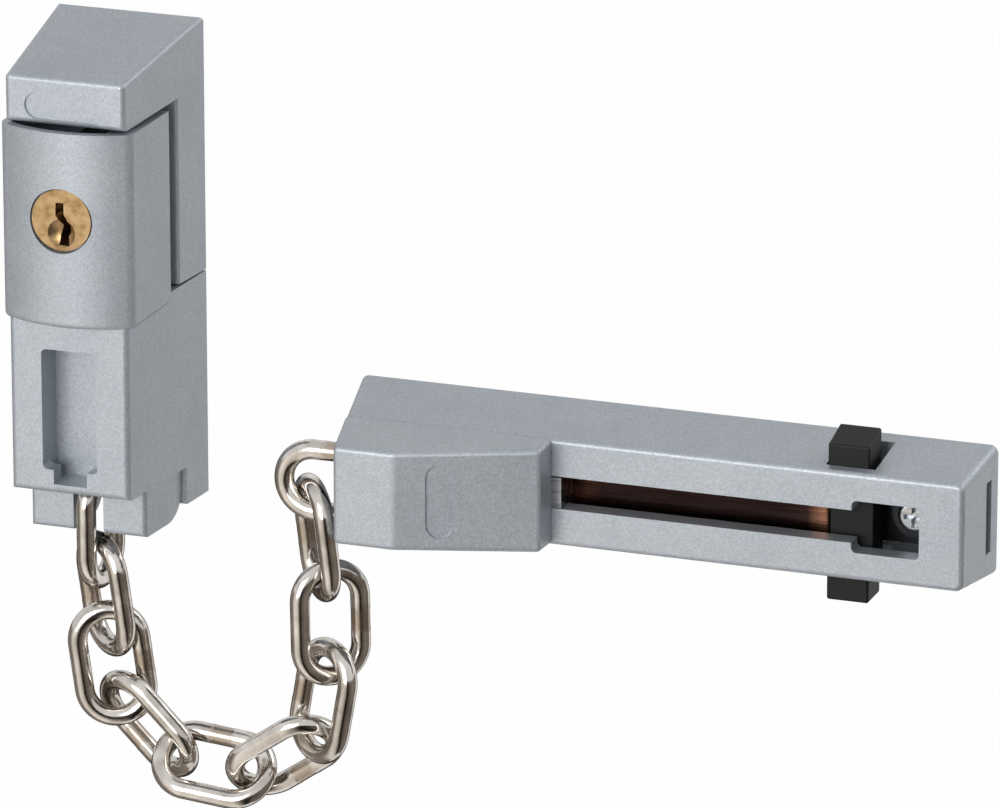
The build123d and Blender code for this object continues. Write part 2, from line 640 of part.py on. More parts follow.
def make_rail_base():
    """The steel base behind the hood: a plate with two screw bosses and a tongue in the hood's end slit."""
    half = CAVITY_HALF - SEAT_GAP
    end = RAIL_RIGHT - RAIL_WALL - SEAT_GAP
    base = block(BASE_LEFT, end, -BASE_THICK, 0, RAIL_Z - half, RAIL_Z + half)
    for x in (RAIL_SCREW_X, ENTRY_SCREW_X):
        base += rod(x, RAIL_Z, BASE_BOSS_R, -BASE_BOSS_HEIGHT, -BASE_THICK)
    tongue_half = SLIT_HEIGHT / 2 - SEAT_GAP
    tongue_front = SLIT_Y - SLIT_DEPTH / 2 + SEAT_GAP
    tongue_back = SLIT_Y + SLIT_DEPTH / 2 - SEAT_GAP
    low, high = RAIL_Z - tongue_half, RAIL_Z + tongue_half
    base += block(end - BASE_THICK, end, tongue_front, -BASE_THICK, low, high)
    base += block(end - BASE_THICK, RAIL_RIGHT, tongue_front, tongue_back, low, high)
    for x in (RAIL_SCREW_X, ENTRY_SCREW_X):
        base -= rod(x, RAIL_Z, SCREW_R + SCREW_PLAY, -BASE_BOSS_HEIGHT, 0)
    rivet_x = STUD_LEFT
    return base - rod(rivet_x, RAIL_Z, RIVET_R, -BASE_THICK, 0)


def make_rail_screws():
    """Two pan head wood screws through the base, one of them seen in the entry."""
    return [pan_screw(x, RAIL_Z, -BASE_BOSS_HEIGHT) for x in (RAIL_SCREW_X, ENTRY_SCREW_X)]


def make_rail_end_screw():
    """The countersunk screw through the hood's left end, covered by the chain head."""
    return sunk_screw(END_SCREW_X, RAIL_Z, RAIL_FRONT)


def make_catch():
    """The black block that stops the stud, with a press tab through each long side of the hood."""
    half = CAVITY_HALF - SEAT_GAP
    right = CATCH_LEFT + CATCH_WIDTH
    body = block(CATCH_LEFT, right, CATCH_FRONT, CATCH_BACK, RAIL_Z - half, RAIL_Z + half)
    tip = TAB_TOP + TAB_TOP_RISE
    above = [(TAB_FRONT, TAB_ROOT), (TAB_BACK, TAB_ROOT), (TAB_BACK, tip), (TAB_FRONT, TAB_TOP)]
    below = [(TAB_FRONT, -TAB_ROOT), (TAB_BACK, -TAB_ROOT), (TAB_BACK, TAB_BOTTOM), (TAB_FRONT, TAB_BOTTOM)]
    for outline in (above, below):
        tab = Pos(0, 0, RAIL_Z) * along_x(outline, CATCH_LEFT, right)
        outer = tab.edges().filter_by(lambda e: abs(e.center().Z - RAIL_Z) > CAVITY_HALF + 2)
        body += fillet(outer, FINE_ROUND)
    return body


def make_catch_spring():
    """The copper leaf: riveted on the base, it runs behind the slot and bears on the back of the catch."""
    foot = -BASE_THICK - SPRING_THICK / 2
    flat = SPRING_FRONT + SPRING_THICK / 2
    tip = CATCH_BACK + SLIDE_FIT / 2 + SPRING_THICK / 2
    foot_left = STUD_LEFT - SPRING_FOOT / 2
    rise = STUD_LEFT + SPRING_FOOT / 2
    route = [
        (foot_left, foot),
        (rise, foot),
        (rise + SPRING_STEP, flat),
        (CATCH_LEFT - SPRING_SLOPE_FROM, flat),
        (CATCH_LEFT - SPRING_SLOPE_TO, tip),
        (CATCH_LEFT + CATCH_WIDTH - SPRING_SHORT, tip),
    ]
    line = FilletPolyline(*route, radius=SPRING_BEND)
    ribbon = trace(line, SPRING_THICK)
    leaf = Pos(0, 0, RAIL_Z - SPRING_HEIGHT / 2) * extrude(ribbon, SPRING_HEIGHT)
    return leaf - rod(STUD_LEFT, RAIL_Z, RIVET_R, -FAR, 0)


def make_spring_rivet():
    """The rivet that holds the leaf's foot on the base."""
    seat = -BASE_THICK - SPRING_THICK
    shank = rod(STUD_LEFT, RAIL_Z, RIVET_R, seat, -SLIDE_FIT)
    return shank + rod(STUD_LEFT, RAIL_Z, 2 * RIVET_R, seat - 1.0, seat)


def head_face():
    """The sloping main face of the chain head, as its bevel and right end points and its outward normal."""
    bevel = Vector(HEAD_BEVEL_X, HEAD_BACK - HEAD_LEFT_THICK, RAIL_Z)
    end = Vector(HEAD_RIGHT, HEAD_BACK - HEAD_RIGHT_THICK, RAIL_Z)
    along = (end - bevel).normalized()
    return bevel, along, Vector(along.Y, -along.X, 0)


def on_ridge(edge):
    """Whether an edge is the upright one where the head's level facet meets its sloping face."""
    middle = edge.center()
    return abs(middle.X - HEAD_BEVEL_X) < 0.2 and abs(middle.Z - RAIL_Z) < 1


def make_chain_head():
    """The wedge block: a level left facet, a long sloping face, the link's slot and the stud's socket."""
    front = HEAD_BACK - HEAD_LEFT_THICK
    plan = [
        (RAIL_LEFT, HEAD_BACK),
        (RAIL_LEFT + HEAD_LEFT_DRAFT, front),
        (HEAD_BEVEL_X, front),
        (HEAD_RIGHT, HEAD_BACK - HEAD_RIGHT_THICK),
        (HEAD_RIGHT, HEAD_BACK),
    ]
    half = RAIL_HEIGHT / 2
    section = [
        (HEAD_BACK, RAIL_Z - half),
        (HEAD_BACK, RAIL_Z + half),
        (front, RAIL_Z + half - HEAD_FACE_DROP),
        (front, RAIL_Z - half + HEAD_FACE_DROP),
    ]
    body = plan_prism(plan, -FAR, FAR) & along_x(section, 0, RAIL_RIGHT)
    outer = body.edges().filter_by(lambda e: e.center().Y < HEAD_BACK - 0.1)
    body = fillet(outer.filter_by(lambda e: not on_ridge(e)), EDGE_ROUND)
    body = fillet(body.edges().filter_by(lambda e: on_ridge(e)), HEAD_BEVEL_ROUND)

    bevel, along, normal = head_face()
    share = (HEAD_BADGE_X - HEAD_BEVEL_X) / along.X
    badge = Plane(origin=bevel + along * share - normal * BADGE_DEPTH, x_dir=(0, 0, 1), z_dir=normal)
    body -= extrude(badge * SlotOverall(HEAD_BADGE_LENGTH, HEAD_BADGE_WIDTH), BADGE_DEPTH * 2)

    link_right = LAST_LINK_LEFT + LINK_INNER_LENGTH + 2 * WIRE + SEAT_GAP
    link_half = LINK_INNER_WIDTH / 2 + WIRE + SEAT_GAP
    body -= block(0, link_right, LAST_LINK_Y - HEAD_SLOT / 2, LAST_LINK_Y + HEAD_SLOT / 2,
                  LAST_LINK_Z - link_half, LAST_LINK_Z + link_half)
    body -= make_head_pin()
    tail_x = STUD_LEFT + STUD_TAIL_R + 1
    return body - rod(tail_x, RAIL_Z, STUD_TAIL_R, HEAD_BACK - STUD_TAIL_LENGTH, HEAD_BACK)


def make_head_pin():
    """The cross pin that the last link is held by, pressed into the head from behind."""
    x = LAST_LINK_LEFT + WIRE + LINK_INNER_LENGTH - HEAD_PIN_R - SEAT_GAP
    return rod(x, LAST_LINK_Z, HEAD_PIN_R, LAST_LINK_Y - HEAD_SLOT / 2 - HEAD_PIN_SINK, HEAD_BACK)


def make_head_stud():
    """The steel T stud: a neck in the slot, a head behind the front plate, a tail in the chain head."""
    neck_half = SLOT_HEIGHT / 2 - SLIDE_FIT
    neck = block(STUD_LEFT, STUD_RIGHT, HEAD_BACK, STUD_HEAD_BACK, RAIL_Z - neck_half, RAIL_Z + neck_half)
    half = STUD_HEAD_HEIGHT / 2
    head = block(STUD_LEFT, STUD_RIGHT, STUD_HEAD_FRONT, STUD_HEAD_BACK, RAIL_Z - half, RAIL_Z + half)
    tail_x = STUD_LEFT + STUD_TAIL_R + 1
    tail_front = HEAD_BACK - STUD_TAIL_LENGTH + SEAT_GAP
    return neck + head + rod(tail_x, RAIL_Z, STUD_TAIL_R, tail_front, HEAD_BACK)


def wire_link():
    """One welded link about the origin: its length along X, its width along Y."""
    bow = (LINK_INNER_WIDTH + WIRE) / 2
    straight = LINK_INNER_LENGTH + WIRE - 2 * bow
    section = Plane(origin=(straight / 2, -bow, 0), x_dir=(0, 1, 0), z_dir=(1, 0, 0)) * Circle(WIRE / 2)
    bend = revolve(section, Axis((straight / 2, 0, 0), (0, 0, 1)), 180)
    bar = Pos(0, bow, 0) * Rot(0, 90, 0) * Cylinder(WIRE / 2, straight)
    half = bend + bar
    return half + Rot(0, 0, 180) * half


def link_plane(x, y, z, swing, turn):
    """Where a link hangs: its length swings from straight down towards +X, and it turns about that."""
    s, t = math.radians(swing), math.radians(turn)
    length = Vector(math.sin(s), 0, -math.cos(s))
    across = Vector(math.cos(s), 0, math.sin(s)) * math.cos(t) + Vector(0, -1, 0) * math.sin(t)
    return Plane(origin=(x, y, z), x_dir=length, z_dir=length.cross(across))


def make_links():
    """Ten links: the first hangs on the foot's pin, the last lies in the head's slot."""
    first_z = FOOT_PIN_Z + FOOT_PIN_R + RUN_FIT - LINK_INNER_LENGTH / 2
    last_x = LAST_LINK_LEFT + WIRE + LINK_INNER_LENGTH / 2
    first = (0, FOOT_PIN_Y, first_z, 0, FIRST_LINK_TURN)
    last = (last_x, LAST_LINK_Y, LAST_LINK_Z, 90, 0)
    places = [first, *HANGING_LINKS, last]
    shape = wire_link()
    return [link_plane(*place) * shape for place in places]


def save(name, solids):
    """Writes one node, which may be a group of like solids."""
    if isinstance(solids, list):
        solids = Compound(children=solids)
    export_step(solids, f"parts/{name}.step")


os.makedirs("parts", exist_ok=True)
save("frame_bracket", make_frame_bracket())
save("bracket_screws", make_bracket_screws())
save("lock_body", make_lock_body())
save("pin_cover", make_pin_cover())
save("plug", make_plug())
save("plug_clip", make_plug_clip())
save("cam", make_cam())
save("cam_screw", make_cam_screw())
save("key_pins", make_key_pins())
save("driver_pins", make_driver_pins())
save("pin_springs", make_pin_springs())
save("chain_foot", make_chain_foot())
save("foot_pin", make_foot_pin())
save("foot_screws", make_foot_screws())
save("rail_housing", make_rail_housing())
save("rail_base", make_rail_base())
save("rail_screws", make_rail_screws())
save("rail_end_screw", make_rail_end_screw())
save("catch", make_catch())
save("catch_spring", make_catch_spring())
save("spring_rivet", make_spring_rivet())
save("chain_head", make_chain_head())
save("head_pin", make_head_pin())
save("head_stud", make_head_stud())
for number, link in enumerate(make_links(), start=1):
    save(f"link_{number}", link)
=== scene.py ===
"""A lockable door chain: lock unit on the frame, slide rail on the door, and the link chain between them."""
import math

import bpy
import numpy as np
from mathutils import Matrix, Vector


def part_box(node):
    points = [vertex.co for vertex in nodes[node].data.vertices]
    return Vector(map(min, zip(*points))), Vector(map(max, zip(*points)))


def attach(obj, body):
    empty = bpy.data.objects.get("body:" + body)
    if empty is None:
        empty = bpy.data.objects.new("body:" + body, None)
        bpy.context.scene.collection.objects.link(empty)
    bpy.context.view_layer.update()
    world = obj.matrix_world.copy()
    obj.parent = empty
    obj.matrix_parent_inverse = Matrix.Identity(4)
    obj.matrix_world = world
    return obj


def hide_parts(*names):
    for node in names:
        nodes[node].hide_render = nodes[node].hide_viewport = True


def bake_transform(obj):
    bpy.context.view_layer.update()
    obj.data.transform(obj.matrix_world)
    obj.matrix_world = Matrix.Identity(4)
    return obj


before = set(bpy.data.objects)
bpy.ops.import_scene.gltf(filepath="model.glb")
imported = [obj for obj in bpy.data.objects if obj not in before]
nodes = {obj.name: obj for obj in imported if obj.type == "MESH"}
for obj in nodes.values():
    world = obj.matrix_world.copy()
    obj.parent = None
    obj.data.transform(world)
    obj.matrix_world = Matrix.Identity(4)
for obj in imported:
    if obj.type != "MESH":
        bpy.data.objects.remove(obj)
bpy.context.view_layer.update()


# Frame bracket: the back wall and cap, one zinc die casting, held to the frame by two countersunk screws.
# The casting is sprayed with silver-grey metallic lacquer, so fine flakes sparkle in a satin coat.
# The screws are zinc-plated steel, bright with a faint blue-grey cast and fine drawn lines.
def linear(hex_colour):
    """Turns an sRGB hex colour into linear red, green, blue and alpha."""
    srgb = np.array([int(hex_colour[i:i + 2], 16) for i in (1, 3, 5)]) / 255
    rgb = np.where(srgb <= 0.04045, srgb / 12.92, ((srgb + 0.055) / 1.055) ** 2.4)
    return (*rgb.tolist(), 1.0)


def start(name):
    """A new material with its main shader."""
    material = bpy.data.materials.new(name)
    material.use_nodes = True
    return material, material.node_tree.nodes["Principled BSDF"]


def add(material, kind, settings=None, stops=None, **links):
    """Adds one node. Settings go to its properties or sockets, stops are a colour ramp's places and colours,
    and links join its inputs to other nodes' outputs. Where inputs share a name, an underscore and a number
    pick one by its place: a colour mix has its share at 0 and its colours at 6 and 7, and gives the result
    at output 2."""
    node = material.node_tree.nodes.new(kind)
    for key, value in (settings or {}).items():
        if isinstance(key, str) and hasattr(node, key):
            setattr(node, key, value)
        else:
            node.inputs[key].default_value = value
    for i, (place, colour) in enumerate(stops or []):
        elements = node.color_ramp.elements
        element = elements[i] if i < len(elements) else elements.new(place)
        element.position = place
        element.color = linear(colour)
    for key, source in links.items():
        socket = node.inputs[int(key[1:])] if key[0] == "_" else node.inputs[key]
        material.node_tree.links.new(source, socket)
    return node


def finish(material, shader, metallic, **links):
    """Joins a material's worked-out values to its main shader and says how far it is a metal."""
    for key, source in links.items():
        material.node_tree.links.new(source, shader.inputs[key.replace("_", " ")])
    shader.inputs["Metallic"].default_value = metallic


def dress(material, *names):
    """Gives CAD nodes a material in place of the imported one."""
    for name in names:
        nodes[name].data.materials.clear()
        nodes[name].data.materials.append(material)


# Real flakes are finer than a pixel, so they are drawn at a quarter of a millimetre, where they just show.
FLAKE = 0.00024
SPRAY_CLOUD = 0.012
ORANGE_PEEL = 0.0014
lacquer, shader = start("silver_lacquer")
place = add(lacquer, "ShaderNodeTexCoord")
flakes = add(lacquer, "ShaderNodeTexVoronoi", {"Scale": 1 / FLAKE}, Vector=place.outputs["Object"])
cloud = add(lacquer, "ShaderNodeTexNoise", {"Scale": 1 / SPRAY_CLOUD, "Detail": 3.0},
            Vector=place.outputs["Object"])
peel = add(lacquer, "ShaderNodeTexNoise", {"Scale": 1 / ORANGE_PEEL, "Detail": 2.0},
           Vector=place.outputs["Object"])
# Each flake lies at its own angle, so each cell has its own lightness; the cloud is the spray's slow change.
angle = add(lacquer, "ShaderNodeSeparateColor", Color=flakes.outputs["Color"])
tone = add(lacquer, "ShaderNodeValToRGB", stops=[(0.0, "#A7ADB4"), (0.5, "#B1B7BE"), (1.0, "#BDC3CA")],
           Fac=angle.outputs["Red"])
depth = add(lacquer, "ShaderNodeValToRGB", stops=[(0.3, "#F6F7F8"), (0.7, "#FFFFFF")],
            Fac=cloud.outputs["Fac"])
paint = add(lacquer, "ShaderNodeMix", {"data_type": "RGBA", "blend_type": "MULTIPLY", "Factor": 1.0},
            _6=tone.outputs["Color"], _7=depth.outputs["Color"])
satin = add(lacquer, "ShaderNodeMapRange", {"To Min": 0.40, "To Max": 0.52}, Value=angle.outputs["Green"])
grain = add(lacquer, "ShaderNodeBump", {"Strength": 0.06, "Distance": 0.0001}, Height=angle.outputs["Blue"])
skin = add(lacquer, "ShaderNodeBump", {"Strength": 0.08, "Distance": 0.0003},
           Height=peel.outputs["Fac"], Normal=grain.outputs["Normal"])
shader.inputs["Coat Weight"].default_value = 0.12
shader.inputs["Coat Roughness"].default_value = 0.25
finish(lacquer, shader, 0.5, Base_Color=paint.outputs[2], Roughness=satin.outputs["Result"],
       Normal=skin.outputs["Normal"])
dress(lacquer, "frame_bracket")

DRAWN_LINE = 0.0004
DRAWN_LENGTH = 0.008
zinc, shader = start("zinc_plated_steel")
place = add(zinc, "ShaderNodeTexCoord")
drawn = add(zinc, "ShaderNodeMapping", {"Scale": (1 / DRAWN_LENGTH, 1 / DRAWN_LINE, 1 / DRAWN_LINE)},
            Vector=place.outputs["Object"])
lines = add(zinc, "ShaderNodeTexNoise", {"Scale": 1.0, "Detail": 3.0}, Vector=drawn.outputs["Vector"])
plate = add(zinc, "ShaderNodeValToRGB", stops=[(0.3, "#9FA3A8"), (0.7, "#C9CCD0")], Fac=lines.outputs["Fac"])
rub = add(zinc, "ShaderNodeMapRange", {"To Min": 0.20, "To Max": 0.36}, Value=lines.outputs["Fac"])
finish(zinc, shader, 1.0, Base_Color=plate.outputs["Color"], Roughness=rub.outputs["Result"])
dress(zinc, "bracket_screws")


# Lock cylinder: the plug is turned from brass bar, so its face has faint rings and is stained by handling.
# The pins are brass too. Springs, clip, cam and its screw are plated steel behind it.
# The strip over the pins has a dull, slightly patchy dark steel colour: painted shade of the well.
STAIN = 0.0022
# Real turning rings are finer than a pixel, so they are drawn as a few broad ones.
LATHE_RING = 0.00377
# A wave texture at scale 1 turns its sine by 20 radians in one unit, so this is the width of one ring.
WAVE_UNIT = 2 * math.pi / 20
brass, shader = start("turned_brass")
place = add(brass, "ShaderNodeTexCoord")
lathe = add(brass, "ShaderNodeMapping", {"Rotation": (math.pi / 2, 0, 0)}, Vector=place.outputs["Object"])
rings = add(brass, "ShaderNodeTexWave", {"wave_type": "RINGS", "rings_direction": "Z", "Detail": 2.0,
                                         "Scale": WAVE_UNIT / LATHE_RING, "Distortion": 1.5},
            Vector=lathe.outputs["Vector"])
handling = add(brass, "ShaderNodeTexNoise", {"Scale": 1 / STAIN, "Detail": 5.0, "Roughness": 0.65},
               Vector=place.outputs["Object"])
stain = add(brass, "ShaderNodeValToRGB", stops=[(0.3, "#856A46"), (0.5, "#A88C66"), (0.75, "#BEA580")],
            Fac=handling.outputs["Fac"])
dull = add(brass, "ShaderNodeMapRange", {"To Min": 0.30, "To Max": 0.46}, Value=handling.outputs["Fac"])
cut = add(brass, "ShaderNodeBump", {"Strength": 0.10, "Distance": 0.0001}, Height=rings.outputs["Fac"])
finish(brass, shader, 1.0, Base_Color=stain.outputs["Color"], Roughness=dull.outputs["Result"],
       Normal=cut.outputs["Normal"])
dress(brass, "plug", "key_pins", "driver_pins")
dress(zinc, "pin_springs", "plug_clip", "cam", "cam_screw")

PATCHINESS = 0.003
# Dark, dull steel colour; on the strip over the pins it is painted shade inside the well.
dark_steel_shade, shader = start("dark_steel_painted_shade")
place = add(dark_steel_shade, "ShaderNodeTexCoord")
patches = add(dark_steel_shade, "ShaderNodeTexNoise", {"Scale": 1 / PATCHINESS, "Detail": 4.0},
              Vector=place.outputs["Object"])
greyed = add(dark_steel_shade, "ShaderNodeValToRGB", stops=[(0.3, "#2C2E30"), (0.7, "#393B3E")],
             Fac=patches.outputs["Fac"])
flat = add(dark_steel_shade, "ShaderNodeMapRange", {"To Min": 0.42, "To Max": 0.56}, Value=patches.outputs["Fac"])
finish(dark_steel_shade, shader, 0.8, Base_Color=greyed.outputs["Color"], Roughness=flat.outputs["Result"])
dress(dark_steel_shade, "pin_cover")


# Lock body and chain foot: two more lacquered castings, the foot screwed to the body from behind.
# A plated pin through the foot holds the first link.
dress(lacquer, "lock_body", "chain_foot")
dress(zinc, "foot_pin", "foot_screws")


# Rail base: a dark steel plate behind the hood, with two bosses and a tongue in the hood's end slit.
# Bright pan head screws through the bosses and a countersunk one through the hood's other end hold it.
dress(dark_steel_shade, "rail_base", "spring_rivet")
dress(zinc, "rail_screws", "rail_end_screw")


# Spring leaf: rolled phosphor bronze strip behind the slot, riveted to the base and bent round to the catch.
# Rolling leaves long fine lines. Its colour is darkened as painted shade along the slot,
# with a painted reflection at its left end and a painted highlight beside the catch.
# In the lock its free end goes back with the catch; the strip is meshed finely along its length.
ROLLED_LINE = 0.0005
ROLLED_LENGTH = 0.012
PAINTED_SHADE_LEFT, PAINTED_SHADE_RIGHT = 0.090, 0.146
bronze, shader = start("rolled_bronze_strip")
place = add(bronze, "ShaderNodeTexCoord")
rolled = add(bronze, "ShaderNodeMapping", {"Scale": (1 / ROLLED_LENGTH, 1 / ROLLED_LINE, 1 / ROLLED_LINE)},
             Vector=place.outputs["Object"])
streaks = add(bronze, "ShaderNodeTexNoise", {"Scale": 1.0, "Detail": 4.0}, Vector=rolled.outputs["Vector"])
copper = add(bronze, "ShaderNodeValToRGB", stops=[(0.3, "#8E5A44"), (0.7, "#B67C5E")],
             Fac=streaks.outputs["Fac"])
way = add(bronze, "ShaderNodeSeparateXYZ", Vector=place.outputs["Object"])
share = add(bronze, "ShaderNodeMapRange", {"From Min": PAINTED_SHADE_LEFT, "From Max": PAINTED_SHADE_RIGHT},
            Value=way.outputs["X"])
# Painted shade along the strip; painted reflection at its left end, painted highlight by the catch.
painted_shade_along = add(bronze, "ShaderNodeValToRGB", Fac=share.outputs["Result"],
              stops=[(0.06, "#8A8A92"), (0.17, "#48546A"), (0.80, "#445166"), (0.90, "#56667E"),
                     (0.955, "#E6F6FF")])
copper_in_shade = add(bronze, "ShaderNodeMix", {"data_type": "RGBA", "blend_type": "MULTIPLY", "Factor": 1.0},
              _6=copper.outputs["Color"], _7=painted_shade_along.outputs["Color"])
smooth = add(bronze, "ShaderNodeMapRange", {"To Min": 0.22, "To Max": 0.34}, Value=streaks.outputs["Fac"])
finish(bronze, shader, 1.0, Base_Color=copper_in_shade.outputs[2], Roughness=smooth.outputs["Result"])

STRIP_THICK = 0.0004
STRIP_BEND = 0.0009
STRIP_STEPS = 120
STRIP_CREASE = math.radians(40)
BEND_STEPS = 7
RIVET_ALONG = 0.0040
RIVET_ROOM = 0.00145
# The corners in plan: the foot at the rivet, out to the slot, along it, and back to a tip behind the catch.
STRIP_ROUTE = np.array([(0.0776, -0.0024), (0.0856, -0.0024), (0.0886, -0.0112), (0.1448, -0.0112),
                        (0.1450, -0.0066), (0.1528, -0.0066)])


def mesh_object(name, points, faces, material):
    """A mesh object from arrays of points and of faces, in one material."""
    mesh = bpy.data.meshes.new(name)
    mesh.from_pydata(points.tolist(), [], faces.tolist())
    mesh.materials.append(material)
    made = bpy.data.objects.new(name, mesh)
    bpy.context.scene.collection.objects.link(made)
    return made


def bent_strip(name, route, low, high):
    """A thin strip on edge along a route in plan. Each corner is eased by a quadratic curve that starts and
    ends at the bend radius times the tangent of half the turn. Two layers of a grid lie half the thickness to
    each side of the route. Cells at the rivet are left out, and a rim of faces closes every open edge."""
    step = np.diff(route, axis=0)
    way = step / np.linalg.norm(step, axis=1)[:, None]
    half_turn = np.arccos((way[:-1] * way[1:]).sum(axis=1)) / 2
    cut = (STRIP_BEND * np.tan(half_turn))[:, None, None]
    share = np.linspace(0, 1, BEND_STEPS)[None, :, None]
    eased = route[1:-1, None] - cut * way[:-1, None] * (1 - share) ** 2 + cut * way[1:, None] * share ** 2
    line = np.concatenate([route[:1], eased.reshape(-1, 2), route[-1:]])
    reached = np.append(0, np.cumsum(np.linalg.norm(np.diff(line, axis=0), axis=1)))
    even = np.linspace(0, reached[-1], STRIP_STEPS)
    run = np.unique(np.concatenate([reached, even, [RIVET_ALONG - RIVET_ROOM, RIVET_ALONG + RIVET_ROOM]]))
    plan = np.stack([np.interp(run, reached, line[:, 0]), np.interp(run, reached, line[:, 1])], axis=1)
    slope = np.gradient(plan, run, axis=0)
    out = np.stack([slope[:, 1], -slope[:, 0]], axis=1) / np.linalg.norm(slope, axis=1)[:, None]
    middle = (low + high) / 2
    z = np.array([low, middle - RIVET_ROOM, middle + RIVET_ROOM, high])
    layers = np.stack([plan + out * STRIP_THICK / 2, plan - out * STRIP_THICK / 2])
    points = np.empty((2, len(run), len(z), 3))
    points[..., :2] = layers[:, :, None]
    points[..., 2] = z
    layer = len(run) * len(z)
    row, column = np.meshgrid(np.arange(len(run) - 1), np.arange(len(z) - 1), indexing="ij")
    corner = row * len(z) + column
    cells = np.stack([corner, corner + len(z), corner + len(z) + 1, corner + 1], axis=-1)
    at_rivet = np.abs((run[1:] + run[:-1]) / 2 - RIVET_ALONG) < RIVET_ROOM
    at_middle = np.abs((z[1:] + z[:-1]) / 2 - middle) < RIVET_ROOM
    cells = cells[~(at_rivet[:, None] & at_middle)]
    begin, end = cells.ravel(), np.roll(cells, -1, axis=1).ravel()
    is_open = ~np.isin(begin * layer + end, end * layer + begin)
    begin, end = begin[is_open], end[is_open]
    rim = np.stack([end, begin, begin + layer, end + layer], axis=1)
    faces = np.concatenate([cells, cells[:, ::-1] + layer, rim])
    strip = mesh_object(name, points.reshape(-1, 3), faces, bronze)
    strip.data.shade_smooth()
    strip.data.set_sharp_from_angle(angle=STRIP_CREASE)
    return strip


leaf_low, leaf_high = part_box("catch_spring")
leaf = bent_strip("spring_leaf", STRIP_ROUTE, leaf_low[2], leaf_high[2])
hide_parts("catch_spring")
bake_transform(leaf)


# Catch: one block moulded in black ABS with a press tab on each side, kept up by the spring leaf.
# The mould leaves a fine even grain, so it is dull with a soft grey sheen on its edges.
MOULD_GRAIN = 0.0004
abs_black, shader = start("moulded_black_abs")
place = add(abs_black, "ShaderNodeTexCoord")
pebble = add(abs_black, "ShaderNodeTexNoise", {"Scale": 1 / MOULD_GRAIN, "Detail": 2.0},
             Vector=place.outputs["Object"])
black = add(abs_black, "ShaderNodeValToRGB", stops=[(0.3, "#08080A"), (0.7, "#111114")],
            Fac=pebble.outputs["Fac"])
matt = add(abs_black, "ShaderNodeMapRange", {"To Min": 0.46, "To Max": 0.60}, Value=pebble.outputs["Fac"])
moulded = add(abs_black, "ShaderNodeBump", {"Strength": 0.15, "Distance": 0.0001},
              Height=pebble.outputs["Fac"])
shader.inputs["Specular IOR Level"].default_value = 0.3
finish(abs_black, shader, 0.0, Base_Color=black.outputs["Color"], Roughness=matt.outputs["Result"],
       Normal=moulded.outputs["Normal"])
dress(abs_black, "catch")


# Rail hood: the long casting over the base, with the slot and the entry for the stud.
# It is lacquered like the lock unit.
dress(lacquer, "rail_housing")


# Chain: each link is bent from round steel wire, butt welded in the middle of a long side and nickel plated.
# The nickel is bright and a little warm, with shallow bending marks. The weld is a dull, slightly necked
# band between two low ridges, and it lies on the side towards the door.
LINKS = 10
WIRE_R = 0.0019
INNER_LENGTH = 0.0177
INNER_WIDTH = 0.0084
WELD_HALF = 0.0023
WELD_NECK = 0.00003
WELD_RIDGE = 0.00005
RIDGE_WIDTH = 0.00028
BAND_POWER = 8
WELD_CROWDING = 0.75
ALONG = 168
AROUND = 28
BENDING_MARK = 0.004
HAZE = 0.0011
WELD_DULLNESS = 0.10
nickel, shader = start("nickel_plated_wire")
place = add(nickel, "ShaderNodeTexCoord")
weld = add(nickel, "ShaderNodeAttribute", {"attribute_name": "weld"})
marks = add(nickel, "ShaderNodeTexNoise", {"Scale": 1 / BENDING_MARK, "Detail": 3.0},
            Vector=place.outputs["Object"])
haze = add(nickel, "ShaderNodeTexNoise", {"Scale": 1 / HAZE, "Detail": 4.0}, Vector=place.outputs["Object"])
warm = add(nickel, "ShaderNodeValToRGB", stops=[(0.3, "#B2ACA5"), (0.7, "#E2DDD7")], Fac=marks.outputs["Fac"])
burnt = add(nickel, "ShaderNodeMix", {"data_type": "RGBA", 7: linear("#ADA194")},
            _0=weld.outputs["Fac"], _6=warm.outputs["Color"])
polish = add(nickel, "ShaderNodeMapRange", {"To Min": 0.08, "To Max": 0.20}, Value=haze.outputs["Fac"])
rough = add(nickel, "ShaderNodeMath", {"operation": "MULTIPLY_ADD", 1: WELD_DULLNESS},
            _0=weld.outputs["Fac"], _2=polish.outputs["Result"])
beaten = add(nickel, "ShaderNodeBump", {"Strength": 0.12, "Distance": 0.0004}, Height=marks.outputs["Fac"])
finish(nickel, shader, 1.0, Base_Color=burnt.outputs[2], Roughness=rough.outputs["Value"],
       Normal=beaten.outputs["Normal"])


def link_axes(node):
    """Where a link lies: the middle of its surface, and the directions of its length and width, which are the
    two longest axes of the surface's spread. A triangle's spread is a twelfth of its area times the sum of
    its corners' squares and the square of their sum. The width points to the welded side."""
    mesh = node.data
    mesh.calc_loop_triangles()
    points = np.empty(len(mesh.vertices) * 3)
    mesh.vertices.foreach_get("co", points)
    corners = np.empty(len(mesh.loop_triangles) * 3, dtype=np.int32)
    mesh.loop_triangles.foreach_get("vertices", corners)
    triangle = points.reshape(-1, 3)[corners].reshape(-1, 3, 3)
    normal = np.cross(triangle[:, 1] - triangle[:, 0], triangle[:, 2] - triangle[:, 0])
    area = np.linalg.norm(normal, axis=1) / 2
    middle = (triangle.mean(axis=1) * area[:, None]).sum(axis=0) / area.sum()
    triangle = triangle - middle
    total = triangle.sum(axis=1)
    squares = np.einsum("tia,tib->tab", triangle, triangle) + np.einsum("ta,tb->tab", total, total)
    axes = np.linalg.eigh(np.einsum("t,tab->ab", area, squares))[1]
    length, width = axes[:, 2], axes[:, 1]
    # A little upwards too, which settles it for a link that lies along the door.
    towards_door = np.array([0.0, 1.0, 0.05])
    return middle, length, width * np.sign(width @ towards_door)


